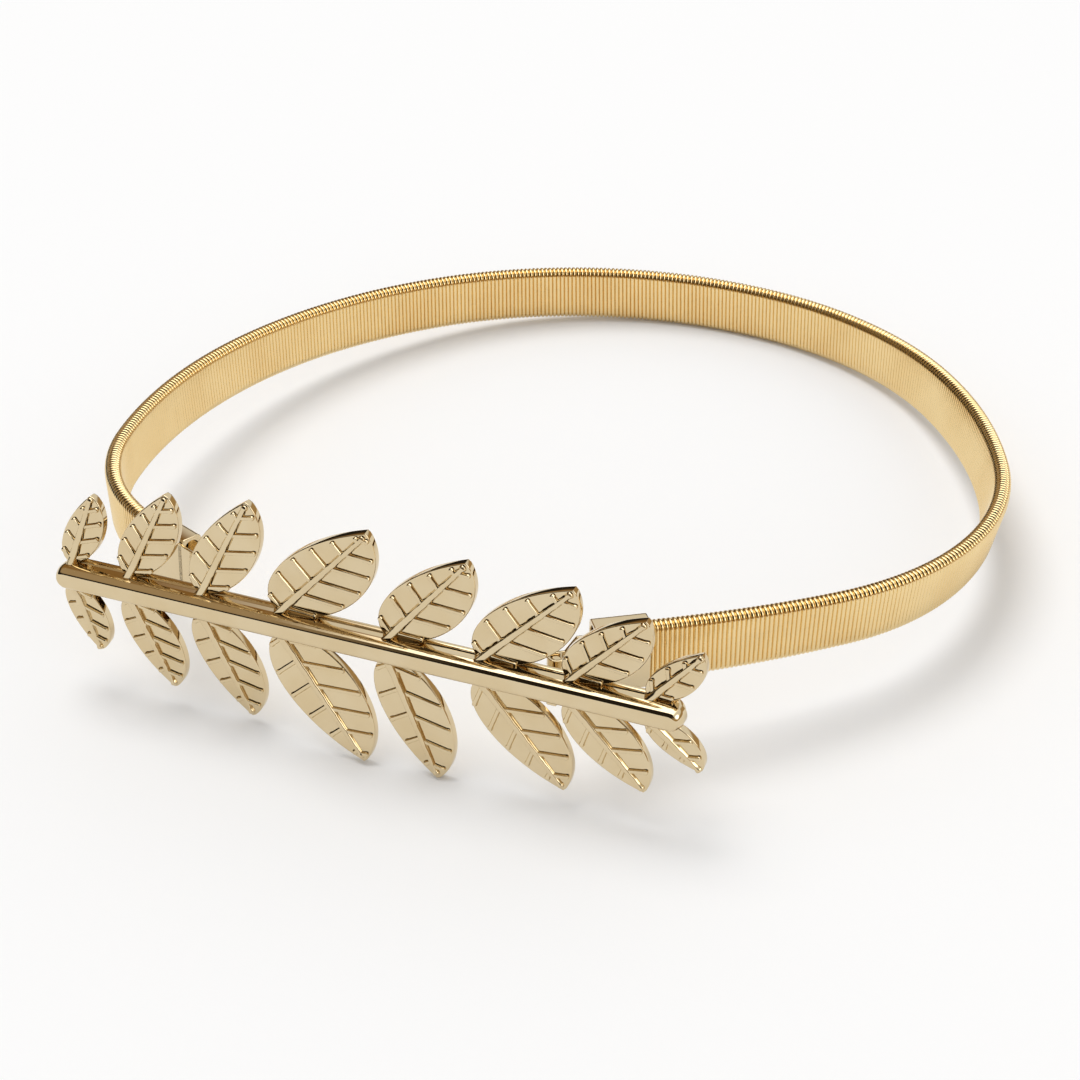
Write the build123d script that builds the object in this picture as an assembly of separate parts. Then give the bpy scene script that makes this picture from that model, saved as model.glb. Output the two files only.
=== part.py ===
"""Curtain tieback: a cast leaf sprig whose back carries both ends of a flat coiled stretch band.

Millimetres, +Z up. The loop is laid out level, with X along the sprig and Y away from the viewer, and is then
turned about X so that it lies as it does on a table: on the lower leaf tips and on the far side of the band.
"""
import os
from math import cos, degrees, pi, radians, sin

from build123d import *

# Stretch band: a flat coil, upright in the loop
BAND_HEIGHT = 10.0
BAND_THICKNESS = 2.8
ARC_RADII = (175.0, 47.5, 85.5, 59.0, 69.0, 83.5, 33.5)
ARC_SWEEPS = (10.2, 65.7, 21.3, 40.6, 51.1, 57.0, 55.0)
MOUTH_X = 28.15
MOUTH_Y = -61.15
MOUTH_HEADING = 35.0
INSERT_LENGTH = 7.0
BAND_STEPS = 30
RIM_FACETS = 5
LEAN_AT = (0.0, 0.1, 0.2, 0.3, 0.43, 0.6, 0.72, 0.85, 0.94, 1.0)
LEAN_DEG = (0.0, 7.5, 13.5, 11.0, 0.0, -3.5, 0.0, 5.0, 5.0, 0.0)

# Ferrules: one folded sheet on each end of the band
SHEET = 0.5
FERRULE_LENGTH = 8.5
FERRULE_WALL = 0.55
FERRULE_CORNER = 0.8
PLATE_FULL = 0.8
PLATE_TAPER = 1.6
TONGUE_NECK = 3.6
TONGUE_HEIGHT = 5.0
EYE_BORE = 1.8
EYE_ROLL_DEG = 305.0

# Sprig: stem, back strip, leaves
STEM_X = -11.4
STEM_Y = -76.3
STEM_LENGTH = 101.5
STEM_HEIGHT = 4.0
STEM_FRONT = 2.0
STEM_ROUND = 1.75
STRIP_HEIGHT = 4.7
LEAF_SET_BACK = 0.6
LEAF_THICKNESS = 1.4
LEAF_TIP = 0.6
OUTER_SWELL = 0.287
OUTER_PULL = (0.0, 0.55)
INNER_SWELL = 0.36
INNER_PULL = (0.22, 0.88)
PAIR_AT = (-0.4798, -0.3823, -0.2611, -0.134, 0.0414, 0.1852, 0.3222, 0.4433)
PAIR_LENGTH = (12.5, 16.6, 18.7, 23.6, 20.6, 21.0, 17.6, 11.2)
PAIR_LEAN = (-5.0, -2.5, -2.5, 6.0, 3.5, 1.5, 4.0, -6.0)
UPPER_ANGLE = (73.0, 66.0, 65.0, 49.0, 51.0, 46.0, 47.5, 48.5)
LOWER_ANGLE = (73.5, 66.0, 65.5, 51.0, 65.0, 48.5, 44.5, 44.0)

# Midribs and side veins, raised on the front of each leaf
RIB_ROOT = (2.0, 0.9, 2.1)
RIB_LOW = (1.55, 0.95, 0.65)
RIB_END = (1.0, 0.55, 0.4)
RIB_BACK = 1.5
RIB_FOOT = 2.6
RIB_REACH = 0.96
VEIN_WIDTH = 0.65
VEIN_TOP = 0.38
VEIN_RISE = 0.22
VEIN_MARGIN = 0.45
VEIN_SHORTEST = 0.9
PAIR_PITCH = (2.9, 3.1, 3.6, 4.1, 4.15, 4.1, 3.95, 3.35)
OUTER_START = 0.28
INNER_START = 0.42
UPPER_VEIN_DEG = (62.0, 62.0, 71.0, 82.0, 74.0, 84.0, 64.0, 52.0)
LOWER_VEIN_DEG = (87.0, 87.0, 87.0, 87.0, 84.0, 61.0, 63.0, 64.0)
INNER_VEIN_DEG = 54.0
SINK = 0.3

# Brackets and posts at the sprig's back
POST_DIAMETER = 1.5
POST_BELOW_EYE = 0.3
SHELF_WIDTH = 3.4
SHELF_THICKNESS = 1.0
SHELF_CLEAR = 0.25
FOOT_WIDTH = 1.6
FOOT_ASIDE = 0.85
FOOT_LAP = 1.0

MID_Z = BAND_HEIGHT / 2

Section = tuple[float, float, float]


def loop_path() -> Wire:
    """Plan line of the band from the mouth of the right ferrule to the mouth of the left one."""
    heading = radians(MOUTH_HEADING)
    x, y = MOUTH_X, MOUTH_Y
    edges = []
    for radius, sweep_deg in zip(ARC_RADII, ARC_SWEEPS):
        turn = radians(sweep_deg)
        centre = (x - radius * sin(heading), y + radius * cos(heading))
        points = []
        for part in (0.0, 0.5, 1.0):
            angle = heading + turn * part
            points.append((centre[0] + radius * sin(angle), centre[1] - radius * cos(angle), MID_Z))
        edges.append(Edge.make_three_point_arc(*points))
        x, y = points[2][0], points[2][1]
        heading += turn
    return Wire(edges)


def lean_at(part: float) -> float:
    """Outward lean of the band's wall, in degrees, at a share of its length."""
    for k in range(len(LEAN_AT) - 1):
        if part <= LEAN_AT[k + 1]:
            span = LEAN_AT[k + 1] - LEAN_AT[k]
            share = (part - LEAN_AT[k]) / span
            smooth = share * share * (3 - 2 * share)
            return LEAN_DEG[k] + (LEAN_DEG[k + 1] - LEAN_DEG[k]) * smooth
    return LEAN_DEG[-1]


def band_section(path: Wire, part: float) -> Face:
    """Section of the band, two flats between rims in facets, square to its path and leaning outward."""
    radius = BAND_THICKNESS / 2
    flat = BAND_HEIGHT / 2 - radius
    points = []
    for end, first in ((flat, -pi / 2), (-flat, pi / 2)):
        for k in range(RIM_FACETS + 1):
            angle = first + pi * k / RIM_FACETS
            points.append((end + radius * cos(angle), radius * sin(angle)))
    outline = Rot(0, 0, lean_at(part)) * make_face(Polyline(*points, close=True))
    plane = Plane(origin=path.position_at(part), x_dir=(0, 0, 1), z_dir=path.tangent_at(part))
    return (plane * outline).face()


def make_band(path: Wire) -> Part:
    """Swept body of the flat coil, with a straight run at each end that goes into a ferrule."""
    sections = [band_section(path, step / BAND_STEPS) for step in range(BAND_STEPS + 1)]
    body = loft(sections)
    first = extrude(sections[0], INSERT_LENGTH, dir=-path.tangent_at(0))
    last = extrude(sections[-1], INSERT_LENGTH, dir=path.tangent_at(1))
    return body.fuse(first, last)


def ferrule_plane(path: Wire, right: bool) -> Plane:
    """Plane at a mouth of the band: X runs from the mouth towards the tongue, Y towards the sprig, Z up."""
    at = path.position_at(0 if right else 1)
    along = path.tangent_at(0 if right else 1)
    x_dir = -along if right else along
    y_dir = Vector(along.Y, -along.X, 0)
    return Plane(origin=at, x_dir=x_dir, z_dir=x_dir.cross(y_dir))


def eye_centre() -> tuple[float, float]:
    """Axis of the rolled eye in the ferrule's own plane."""
    reach = FERRULE_LENGTH + PLATE_FULL + PLATE_TAPER + TONGUE_NECK
    across = BAND_THICKNESS / 2 + FERRULE_WALL + EYE_BORE / 2
    return reach, across


def make_ferrule() -> Part:
    """One folded sheet: sleeve, tapering front plate, rolled eye. Drawn from the mouth along +X."""
    height = BAND_HEIGHT + 2 * FERRULE_WALL
    depth = BAND_THICKNESS + 2 * FERRULE_WALL
    ends = Plane.YZ
    sleeve = extrude(ends * RectangleRounded(depth, height, FERRULE_CORNER), FERRULE_LENGTH)
    hollow = extrude(ends * Rot(0, 0, 90) * SlotOverall(BAND_HEIGHT, BAND_THICKNESS), FERRULE_LENGTH)
    sleeve = sleeve - hollow

    front = BAND_THICKNESS / 2 + FERRULE_WALL
    full = FERRULE_LENGTH + PLATE_FULL
    reach, across = eye_centre()
    half = height / 2 - FERRULE_CORNER
    low = TONGUE_HEIGHT / 2
    side = Plane(origin=(0, front - SHEET, 0), x_dir=(1, 0, 0), z_dir=(0, 1, 0))
    outline = Polyline(
        (FERRULE_LENGTH - 1, -half),
        (full, -half),
        (full + PLATE_TAPER, -low),
        (reach, -low),
        (reach, low),
        (full + PLATE_TAPER, low),
        (full, half),
        (FERRULE_LENGTH - 1, half),
        close=True,
    )
    plate = extrude(side * make_face(outline), SHEET)

    ring = Circle(EYE_BORE / 2 + SHEET) - Circle(EYE_BORE / 2)
    size = EYE_BORE + 2 * SHEET
    gap = make_face(
        Polyline(
            (0, 0),
            (-size, 0),
            (-size, -size * sin(radians(360 - EYE_ROLL_DEG))),
            (0, -size * 0.02),
            close=True,
        )
    )
    roll = extrude(Pos(reach, across, -low) * (ring - gap), TONGUE_HEIGHT)
    return sleeve + plate + roll


def half_width(length: float, u: float, swell: float, pull: tuple[float, float]) -> float:
    """Half width of a leaf at a place along its midrib."""
    before, after = 0.0, 1.0
    for _ in range(40):
        t = (before + after) / 2
        along = 3 * (1 - t) ** 2 * t * pull[0] + 3 * (1 - t) * t * t * pull[1] + t ** 3
        if along * length < u:
            before = t
        else:
            after = t
    t = (before + after) / 2
    return 3 * t * (1 - t) * swell * length + t ** 3 * LEAF_TIP / 2


def vein_length(length: float, start: float, angle: float, swell: float, pull: tuple[float, float]) -> float:
    """Length of a side vein that stops a little short of the leaf's edge."""
    step = 0.05
    reach = 0.0
    while reach < length:
        u = start + (reach + VEIN_MARGIN) * cos(radians(angle))
        v = (reach + VEIN_MARGIN) * sin(radians(angle))
        if u >= length or v > half_width(length, u, swell, pull):
            break
        reach += step
    return reach


def ridge(low: Section, high: Section, start: float, end: float) -> Part:
    """Straight ridge along +X with sloping sides, from one section to another, on the plane z = 0."""
    faces = []
    for at, (base, top, rise) in ((start, low), (end, high)):
        spread = base / 2 + SINK * (base - top) / (2 * rise)
        line = Polyline((-spread, -SINK), (spread, -SINK), (top / 2, rise), (-top / 2, rise), close=True)
        faces.append(Plane(origin=(at, 0, 0), x_dir=(0, 1, 0), z_dir=(1, 0, 0)) * make_face(line))
    return loft(faces, ruled=True)


def make_leaf(length: float, pitch: float, outer_deg: float) -> Part:
    """A leaf on the plane z = 0, front up, midrib along +X, outer side towards +Y."""
    tip = LEAF_TIP / 2
    outer = Bezier(
        (0, 0),
        (OUTER_PULL[0] * length, OUTER_SWELL * length),
        (OUTER_PULL[1] * length, OUTER_SWELL * length),
        (length, tip),
    )
    inner = Bezier(
        (length, -tip),
        (INNER_PULL[1] * length, -INNER_SWELL * length),
        (INNER_PULL[0] * length, -INNER_SWELL * length),
        (0, 0),
    )
    edge = Line((length, tip), (length, -tip))
    blade = extrude(make_face([outer.edge(), edge.edge(), inner.edge()]), -LEAF_THICKNESS)
    raised = [
        ridge(RIB_ROOT, RIB_LOW, -RIB_BACK, RIB_FOOT),
        ridge(RIB_LOW, RIB_END, RIB_FOOT, RIB_REACH * length),
    ]
    section = (VEIN_WIDTH, VEIN_TOP, VEIN_RISE)
    for angle, swell, pull, first, sign in (
        (outer_deg, OUTER_SWELL, OUTER_PULL, OUTER_START, 1),
        (INNER_VEIN_DEG, INNER_SWELL, INNER_PULL, INNER_START, -1),
    ):
        start = first * pitch
        while start < RIB_REACH * length:
            reach = vein_length(length, start, angle, swell, pull)
            if reach > VEIN_SHORTEST:
                vein = ridge(section, section, 0.1, reach)
                raised.append(Pos(start, 0, 0) * Rot(0, 0, sign * angle) * vein)
            start += pitch
    return blade.fuse(*raised)


def place_leaf(leaf: Part, x: float, angle: float, lean: float) -> Part:
    """Set a leaf on the upper side of the stem, which lies along X through the origin, front towards -Y."""
    a, b = radians(angle), radians(lean)
    plane = Plane(
        origin=(x, LEAF_SET_BACK, STEM_HEIGHT / 2 - 0.4),
        x_dir=(cos(a), -sin(a) * sin(b), sin(a) * cos(b)),
        z_dir=(0, -cos(b), -sin(b)),
    )
    return plane * leaf


def make_bracket(eye: Vector) -> Part:
    """Foot, shelf and upright post that carry one eye of the band."""
    x, y = eye.X - STEM_X, eye.Y - STEM_Y
    back = LEAF_SET_BACK + LEAF_THICKNESS
    top = -TONGUE_HEIGHT / 2
    bottom = top - SHELF_THICKNESS
    start = back + SHELF_CLEAR
    seat = (Align.CENTER, Align.MIN, Align.MIN)
    foot = Box(FOOT_WIDTH, LEAF_THICKNESS, FOOT_LAP - STRIP_HEIGHT / 2 - bottom, align=seat)
    foot = Pos(x + FOOT_ASIDE, LEAF_SET_BACK, bottom) * foot
    neck = Box(FOOT_WIDTH, SHELF_CLEAR + 2 * SINK, SHELF_THICKNESS, align=seat)
    neck = Pos(x + FOOT_ASIDE, back - SINK, bottom) * neck
    shelf = Pos(x, start, bottom) * Box(SHELF_WIDTH, y - start, SHELF_THICKNESS, align=seat)
    nose = Pos(x, y, bottom) * extrude(Circle(SHELF_WIDTH / 2), SHELF_THICKNESS)
    post = Pos(x, y, top - SINK) * extrude(Circle(POST_DIAMETER / 2), TONGUE_HEIGHT - POST_BELOW_EYE + SINK)
    return foot + neck + shelf + nose + post


def make_sprig(eyes: list[Vector]) -> Part:
    """The casting: stem, strip, leaves and brackets as one body, in the loop's frame."""
    upright = Plane(origin=(0, 0, 0), x_dir=(1, 0, 0), z_dir=(0, -1, 0))
    bar = extrude(upright * SlotOverall(STEM_LENGTH, STEM_HEIGHT), STEM_FRONT)
    bar = fillet(bar.faces().sort_by(Axis.Y)[0].edges(), STEM_ROUND)
    root = extrude(upright * SlotOverall(STEM_LENGTH, STEM_HEIGHT), -(LEAF_SET_BACK + SINK))
    strip_plane = upright.offset(-LEAF_SET_BACK)
    strip = extrude(strip_plane * SlotOverall(STEM_LENGTH - 1, STRIP_HEIGHT), -LEAF_THICKNESS)
    pieces = [root, strip]
    for k, share in enumerate(PAIR_AT):
        x = share * STEM_LENGTH
        upper = make_leaf(PAIR_LENGTH[k], PAIR_PITCH[k], UPPER_VEIN_DEG[k])
        lower = make_leaf(PAIR_LENGTH[k], PAIR_PITCH[k], LOWER_VEIN_DEG[k])
        pieces.append(place_leaf(upper, x, UPPER_ANGLE[k], PAIR_LEAN[k]))
        pieces.append(place_leaf(lower, x, LOWER_ANGLE[k], PAIR_LEAN[k]).mirror(Plane.XY))
    pieces += [make_bracket(eye) for eye in eyes]
    body = bar.fuse(*pieces)
    return Pos(STEM_X, STEM_Y, MID_Z) * body


def resting_angle(points: list[Vector], path: Wire) -> float:
    """Turn about X, in degrees, that lays the leaf tips and the far side of the band on one floor."""
    radius = BAND_THICKNESS / 2
    line = [path.position_at(k / 200) for k in range(201)]

    def lowest(turn: float) -> tuple[float, float]:
        tips = min(p.Y * sin(turn) + p.Z * cos(turn) for p in points)
        rims = min(p.Y * sin(turn) + radius * cos(turn) - radius for p in line)
        return tips, rims

    near, far = radians(-20.0), radians(0.0)
    for _ in range(60):
        turn = (near + far) / 2
        tips, rims = lowest(turn)
        if tips > rims:
            near = turn
        else:
            far = turn
    return degrees((near + far) / 2)


def main() -> None:
    """Build every piece, lay the tieback at rest and write one STEP file for each piece."""
    os.makedirs("parts", exist_ok=True)
    path = loop_path()
    right_plane = ferrule_plane(path, True)
    left_plane = ferrule_plane(path, False)
    reach, across = eye_centre()
    eyes = [plane.from_local_coords(Vector(reach, across, 0)) for plane in (right_plane, left_plane)]
    ferrule = make_ferrule()
    pieces = {
        "leaf_sprig": make_sprig(eyes),
        "spring_band": make_band(path),
        "ferrule_right": right_plane * ferrule,
        "ferrule_left": left_plane * ferrule,
    }
    points = [vertex.center() for vertex in pieces["leaf_sprig"].vertices()]
    rest = Rot(resting_angle(points, path), 0, 0)
    turned = {name: rest * body for name, body in pieces.items()}
    boxes = [body.bounding_box() for body in turned.values()]
    middle_x = (min(box.min.X for box in boxes) + max(box.max.X for box in boxes)) / 2
    middle_y = (min(box.min.Y for box in boxes) + max(box.max.Y for box in boxes)) / 2
    floor_z = min(box.min.Z for box in boxes)
    shift = Pos(-middle_x, -middle_y, -floor_z)
    for name, body in turned.items():
        export_step(shift * body, f"parts/{name}.step")


if __name__ == "__main__":
    main()
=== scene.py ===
"""Looks of a curtain tieback: a polished leaf sprig, two ferrules and a satin coil band on a pale floor.

The pieces are drawn in millimetres in the loop's own level frame, with X along the sprig, Y away from the
viewer and z = 0 at the band's lower rim. One rest position then lays them on the floor, in metres.
"""
import logging
import math
from dataclasses import dataclass
from enum import Enum
from typing import Any, Iterable, Sequence

import bpy
import numpy as np
from mathutils import Matrix

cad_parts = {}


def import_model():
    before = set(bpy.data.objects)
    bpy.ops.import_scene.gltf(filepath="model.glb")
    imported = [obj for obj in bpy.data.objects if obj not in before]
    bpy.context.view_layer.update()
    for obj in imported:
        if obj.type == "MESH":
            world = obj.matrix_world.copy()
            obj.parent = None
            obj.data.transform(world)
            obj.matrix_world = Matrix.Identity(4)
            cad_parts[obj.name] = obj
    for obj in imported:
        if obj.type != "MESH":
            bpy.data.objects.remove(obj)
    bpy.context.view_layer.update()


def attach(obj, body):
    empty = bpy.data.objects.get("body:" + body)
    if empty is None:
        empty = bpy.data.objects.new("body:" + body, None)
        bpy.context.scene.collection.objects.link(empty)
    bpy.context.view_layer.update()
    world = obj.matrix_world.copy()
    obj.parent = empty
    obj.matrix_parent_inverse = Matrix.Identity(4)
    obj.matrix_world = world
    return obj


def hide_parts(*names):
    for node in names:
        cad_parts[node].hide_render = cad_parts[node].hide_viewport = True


log = logging.getLogger("tieback")

# Edges steeper than this stay crisp
SHARP_DEG = 35.0
# Inset, in radii, from which the face of a rounded plate is flat
FLAT_FROM = 1.25

Colour = tuple[float, float, float, float]
Span = tuple[float, float]
Face = tuple[int, ...]
Shell = tuple[np.ndarray, list[Face]]


class Slot(Enum):
    """Material slots of the record."""

    POLISHED = "polished_gold"
    SATIN = "satin_gold"


class Side(Enum):
    """Ends of the band, as seen from the front."""

    RIGHT = "right"
    LEFT = "left"


@dataclass(frozen=True)
class RestPosition:
    """How the level loop lies on the floor: a turn about X and a shift, in degrees and millimetres."""

    turn_deg: float = -6.7141
    shift: tuple[float, float, float] = (3.0360, 10.7317, 6.5199)

    def rotation(self) -> np.ndarray:
        """Turn about X as a 3 by 3 matrix."""
        c, s = math.cos(math.radians(self.turn_deg)), math.sin(math.radians(self.turn_deg))
        return np.array([[1.0, 0.0, 0.0], [0.0, c, -s], [0.0, s, c]])

    def place(self, points: np.ndarray) -> np.ndarray:
        """Lay points of the loop's frame on the floor.

        Args:
            points: rows of x, y, z in millimetres.

        Returns:
            The same rows in metres, in the frame of the solids.
        """
        return (np.asarray(points, float) @ self.rotation().T + np.array(self.shift)) / 1000.0


REST = RestPosition()


def new_object(name: str, data: Any) -> bpy.types.Object:
    """Add an object to the scene.

    Args:
        name: its name.
        data: the mesh, camera or lamp that it shows.

    Returns:
        The linked object.
    """
    piece = bpy.data.objects.new(name, data)
    bpy.context.scene.collection.objects.link(piece)
    return piece


def posed(axes: Sequence[np.ndarray], spot: Sequence[float] = (0.0, 0.0, 0.0)) -> Matrix:
    """Placement of a camera or a lamp.

    Args:
        axes: its three axes.
        spot: where it stands, in metres.

    Returns:
        The matrix for the object.
    """
    rows = [(axes[0][k], axes[1][k], axes[2][k], spot[k]) for k in range(3)]
    return Matrix([*rows, (0.0, 0.0, 0.0, 1.0)])


class MeshDraft:
    """Vertices and faces of a piece while it is drawn, in the loop's frame."""

    def __init__(self) -> None:
        """Start with nothing drawn."""
        self.points: list[np.ndarray] = []
        self.faces: list[Face] = []
        self.count = 0

    def add(self, points: np.ndarray, faces: Iterable[Sequence[int]], flip: bool = False) -> None:
        """Add a closed shell.

        Args:
            points: rows of x, y, z in millimetres.
            faces: vertex numbers of each face, from 0 for this shell.
            flip: True turns the faces over, for a shell that is mirrored or drawn inward.
        """
        for face in faces:
            row = tuple(int(k) + self.count for k in face)
            self.faces.append(row[::-1] if flip else row)
        self.points.append(np.asarray(points, float))
        self.count += len(points)

    def to_object(self, name: str) -> bpy.types.Object:
        """Make the Blender object, laid on the floor and shaded smooth.

        Args:
            name: the piece's name.

        Returns:
            The linked mesh object.
        """
        mesh = bpy.data.meshes.new(name)
        mesh.from_pydata(REST.place(np.concatenate(self.points)).tolist(), [], self.faces)
        mesh.validate()
        mesh.polygons.foreach_set("use_smooth", [True] * len(mesh.polygons))
        mesh.set_sharp_from_angle(angle=math.radians(SHARP_DEG))
        mesh.update()
        return new_object(name, mesh)


def ring_faces(rings: int, per_ring: int, closed: bool = False) -> list[Face]:
    """Quads between rings of vertices that follow each other.

    Args:
        rings: number of rings.
        per_ring: vertices on each ring.
        closed: True joins the last ring to the first.

    Returns:
        Faces as tuples of vertex numbers.
    """
    faces = []
    last = rings if closed else rings - 1
    for i in range(last):
        low, high = i * per_ring, ((i + 1) % rings) * per_ring
        for j in range(per_ring):
            k = (j + 1) % per_ring
            faces.append((low + j, low + k, high + k, high + j))
    return faces


def capped(rows: Sequence[np.ndarray]) -> Shell:
    """A closed shell over outlines that follow each other, with a flat face over each end.

    Args:
        rows: outlines with equally many points, as rows of three numbers.

    Returns:
        Points and faces of the closed shell.
    """
    per_ring = len(rows[0])
    faces = ring_faces(len(rows), per_ring)
    faces.append(tuple(range(per_ring))[::-1])
    faces.append(tuple(range((len(rows) - 1) * per_ring, len(rows) * per_ring)))
    return np.concatenate(rows), faces


def outward(outline: np.ndarray, sharpest: float = 0.45) -> np.ndarray:
    """Mitred outward normals of a closed counter-clockwise outline.

    Args:
        outline: rows of u, v.
        sharpest: cosine of the corner at which the mitre stops growing.

    Returns:
        One row per point, long enough to keep an even inset at corners.
    """
    tiny = 1e-12
    ahead = np.roll(outline, -1, axis=0) - outline
    ahead /= np.linalg.norm(ahead, axis=1)[:, None] + tiny
    side = np.stack([ahead[:, 1], -ahead[:, 0]], 1)
    mean = side + np.roll(side, 1, axis=0)
    mean /= np.linalg.norm(mean, axis=1)[:, None] + tiny
    spread = np.clip((mean * side).sum(1), sharpest, 1.0)
    return mean / spread[:, None]


def stacked(outline: np.ndarray, levels: list[tuple[float, float]], share: Any = 1.0) -> Shell:
    """A closed shell drawn as an outline that is inset more or less from level to level.

    Args:
        outline: counter-clockwise rows of u, v.
        levels: pairs of level and inset, from back to front.
        share: share of the inset that each point of the outline takes.

    Returns:
        Points as rows of u, v, w, and the faces.
    """
    normal = outward(outline)
    rows = []
    for level, inset in levels:
        flat = outline - normal * (inset * share * np.ones(len(outline)))[:, None]
        rows.append(np.column_stack([flat, np.full(len(flat), level)]))
    return capped(rows)


def plate(
    outline: np.ndarray,
    back: float,
    front: float,
    round_back: float,
    round_front: float,
    steps: int = 4,
    ease: np.ndarray | None = None,
) -> Shell:
    """A flat plate with rounded edges, drawn as stacked outlines.

    Args:
        outline: counter-clockwise rows of u, v.
        back: level of the back face.
        front: level of the front face.
        round_back: edge radius at the back.
        round_front: edge radius at the front.
        steps: facets in each rounding.
        ease: share of the rounding that each outline point takes, where it narrows to a tip.

    Returns:
        Points as rows of u, v, w, and the faces of the closed shell.
    """
    levels = [(back, round_back * FLAT_FROM)]
    for k in range(steps + 1):
        a = 0.5 * math.pi * k / steps
        levels.append((back + round_back * (1 - math.cos(a)), round_back * (1 - math.sin(a))))
    for k in range(steps + 1):
        a = 0.5 * math.pi * k / steps
        levels.append((front - round_front * (1 - math.sin(a)), round_front * (1 - math.cos(a))))
    levels.append((front, round_front * FLAT_FROM))
    return stacked(outline, levels, 1.0 if ease is None else ease)


def slot_outline(length: float, height: float, facets: int = 14) -> np.ndarray:
    """Counter-clockwise outline of a bar with half-round ends.

    Args:
        length: overall length.
        height: width across the flats.
        facets: facets in each half round.

    Returns:
        Rows of u, v.
    """
    radius = height / 2
    reach = length / 2 - radius
    rows = []
    for centre, start in ((reach, -0.5 * math.pi), (-reach, 0.5 * math.pi)):
        for k in range(facets + 1):
            a = start + math.pi * k / facets
            rows.append((centre + radius * math.cos(a), radius * math.sin(a)))
    return np.array(rows)


def rounded_outline(width: float, height: float, radius: float, facets: int = 4) -> np.ndarray:
    """Counter-clockwise outline of a rectangle with round corners.

    Args:
        width: size along u.
        height: size along v.
        radius: corner radius.
        facets: facets in each corner.

    Returns:
        Rows of u, v.
    """
    rows = []
    for k, (sx, sy) in enumerate(((1, -1), (1, 1), (-1, 1), (-1, -1))):
        for step in range(facets + 1):
            a = 0.5 * math.pi * (k - 1 + step / facets)
            rows.append((sx * (width / 2 - radius) + radius * math.cos(a),
                         sy * (height / 2 - radius) + radius * math.sin(a)))
    return np.array(rows)


class Signal:
    """A shader socket that takes part in Python arithmetic."""

    def __init__(self, kit: "NodeKit", socket: bpy.types.NodeSocket) -> None:
        self.kit = kit
        self.socket = socket

    def output(self, name: str) -> "Signal":
        """Another output of the same node."""
        return Signal(self.kit, self.socket.node.outputs[name])

    def _math(self, operation: str, first: Any, second: Any) -> "Signal":
        """A Math node on two values."""
        return self.kit.node("ShaderNodeMath", {"operation": operation}, {0: first, 1: second})

    def __add__(self, other: Any) -> "Signal":
        """Sum."""
        return self._math("ADD", self, other)

    def __radd__(self, other: Any) -> "Signal":
        """Sum, number first."""
        return self._math("ADD", other, self)

    def __sub__(self, other: Any) -> "Signal":
        """Difference."""
        return self._math("SUBTRACT", self, other)

    def __rsub__(self, other: Any) -> "Signal":
        """Difference, number first."""
        return self._math("SUBTRACT", other, self)

    def __mul__(self, other: Any) -> "Signal":
        """Product."""
        return self._math("MULTIPLY", self, other)

    def __rmul__(self, other: Any) -> "Signal":
        """Product, number first."""
        return self._math("MULTIPLY", other, self)


class NodeKit:
    """Adds nodes to one tree."""

    def __init__(self, tree: bpy.types.NodeTree) -> None:
        """Clear the tree and keep it."""
        tree.nodes.clear()
        self.tree = tree

    def node(
        self,
        kind: str,
        settings: dict[str, Any] | None = None,
        inputs: dict[Any, Any] | None = None,
    ) -> Signal:
        """Make a node.

        Args:
            kind: the node's type name.
            settings: properties, set first.
            inputs: values or signals for its sockets.

        Returns:
            The node's first output, or its first input where it has no output.
        """
        made = self.tree.nodes.new(kind)
        for key, value in (settings or {}).items():
            setattr(made, key, value)
        for key, value in (inputs or {}).items():
            socket = made.inputs[key]
            if isinstance(value, Signal):
                self.tree.links.new(value.socket, socket)
            else:
                socket.default_value = value
        ends = [s for s in made.outputs if s.enabled] or list(made.inputs)
        return Signal(self, ends[0])

    def noise(self, place: Signal, scale: float, detail: float) -> Signal:
        """Cloudy noise over the given coordinates."""
        return self.node("ShaderNodeTexNoise", None, {"Vector": place, "Scale": scale, "Detail": detail})

    def blend(self, share: Any, first: Any, second: Any) -> Signal:
        """A mix of two colours.

        Args:
            share: 0 gives the first colour and 1 the second.
            first: colour or signal.
            second: colour or signal.

        Returns:
            The mixed colour.
        """
        return self.node("ShaderNodeMix", {"data_type": "RGBA"}, {0: share, 6: first, 7: second})

    def ramp(self, value: Signal, low: float, high: float, start: float = 0.0, end: float = 1.0) -> Signal:
        """A value mapped smoothly from one range to another.

        Args:
            value: what is mapped.
            low: value that gives start.
            high: value that gives end.
            start: result at low and below.
            end: result at high and above.

        Returns:
            The mapped value.
        """
        return self.node(
            "ShaderNodeMapRange",
            {"interpolation_type": "SMOOTHSTEP"},
            {0: value, 1: low, 2: high, 3: start, 4: end},
        )


def new_material(name: str) -> tuple[bpy.types.Material, NodeKit]:
    """Start a material.

    Args:
        name: its name.
    """
    made = bpy.data.materials.new(name)
    made.use_nodes = True
    return made, NodeKit(made.node_tree)


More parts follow.
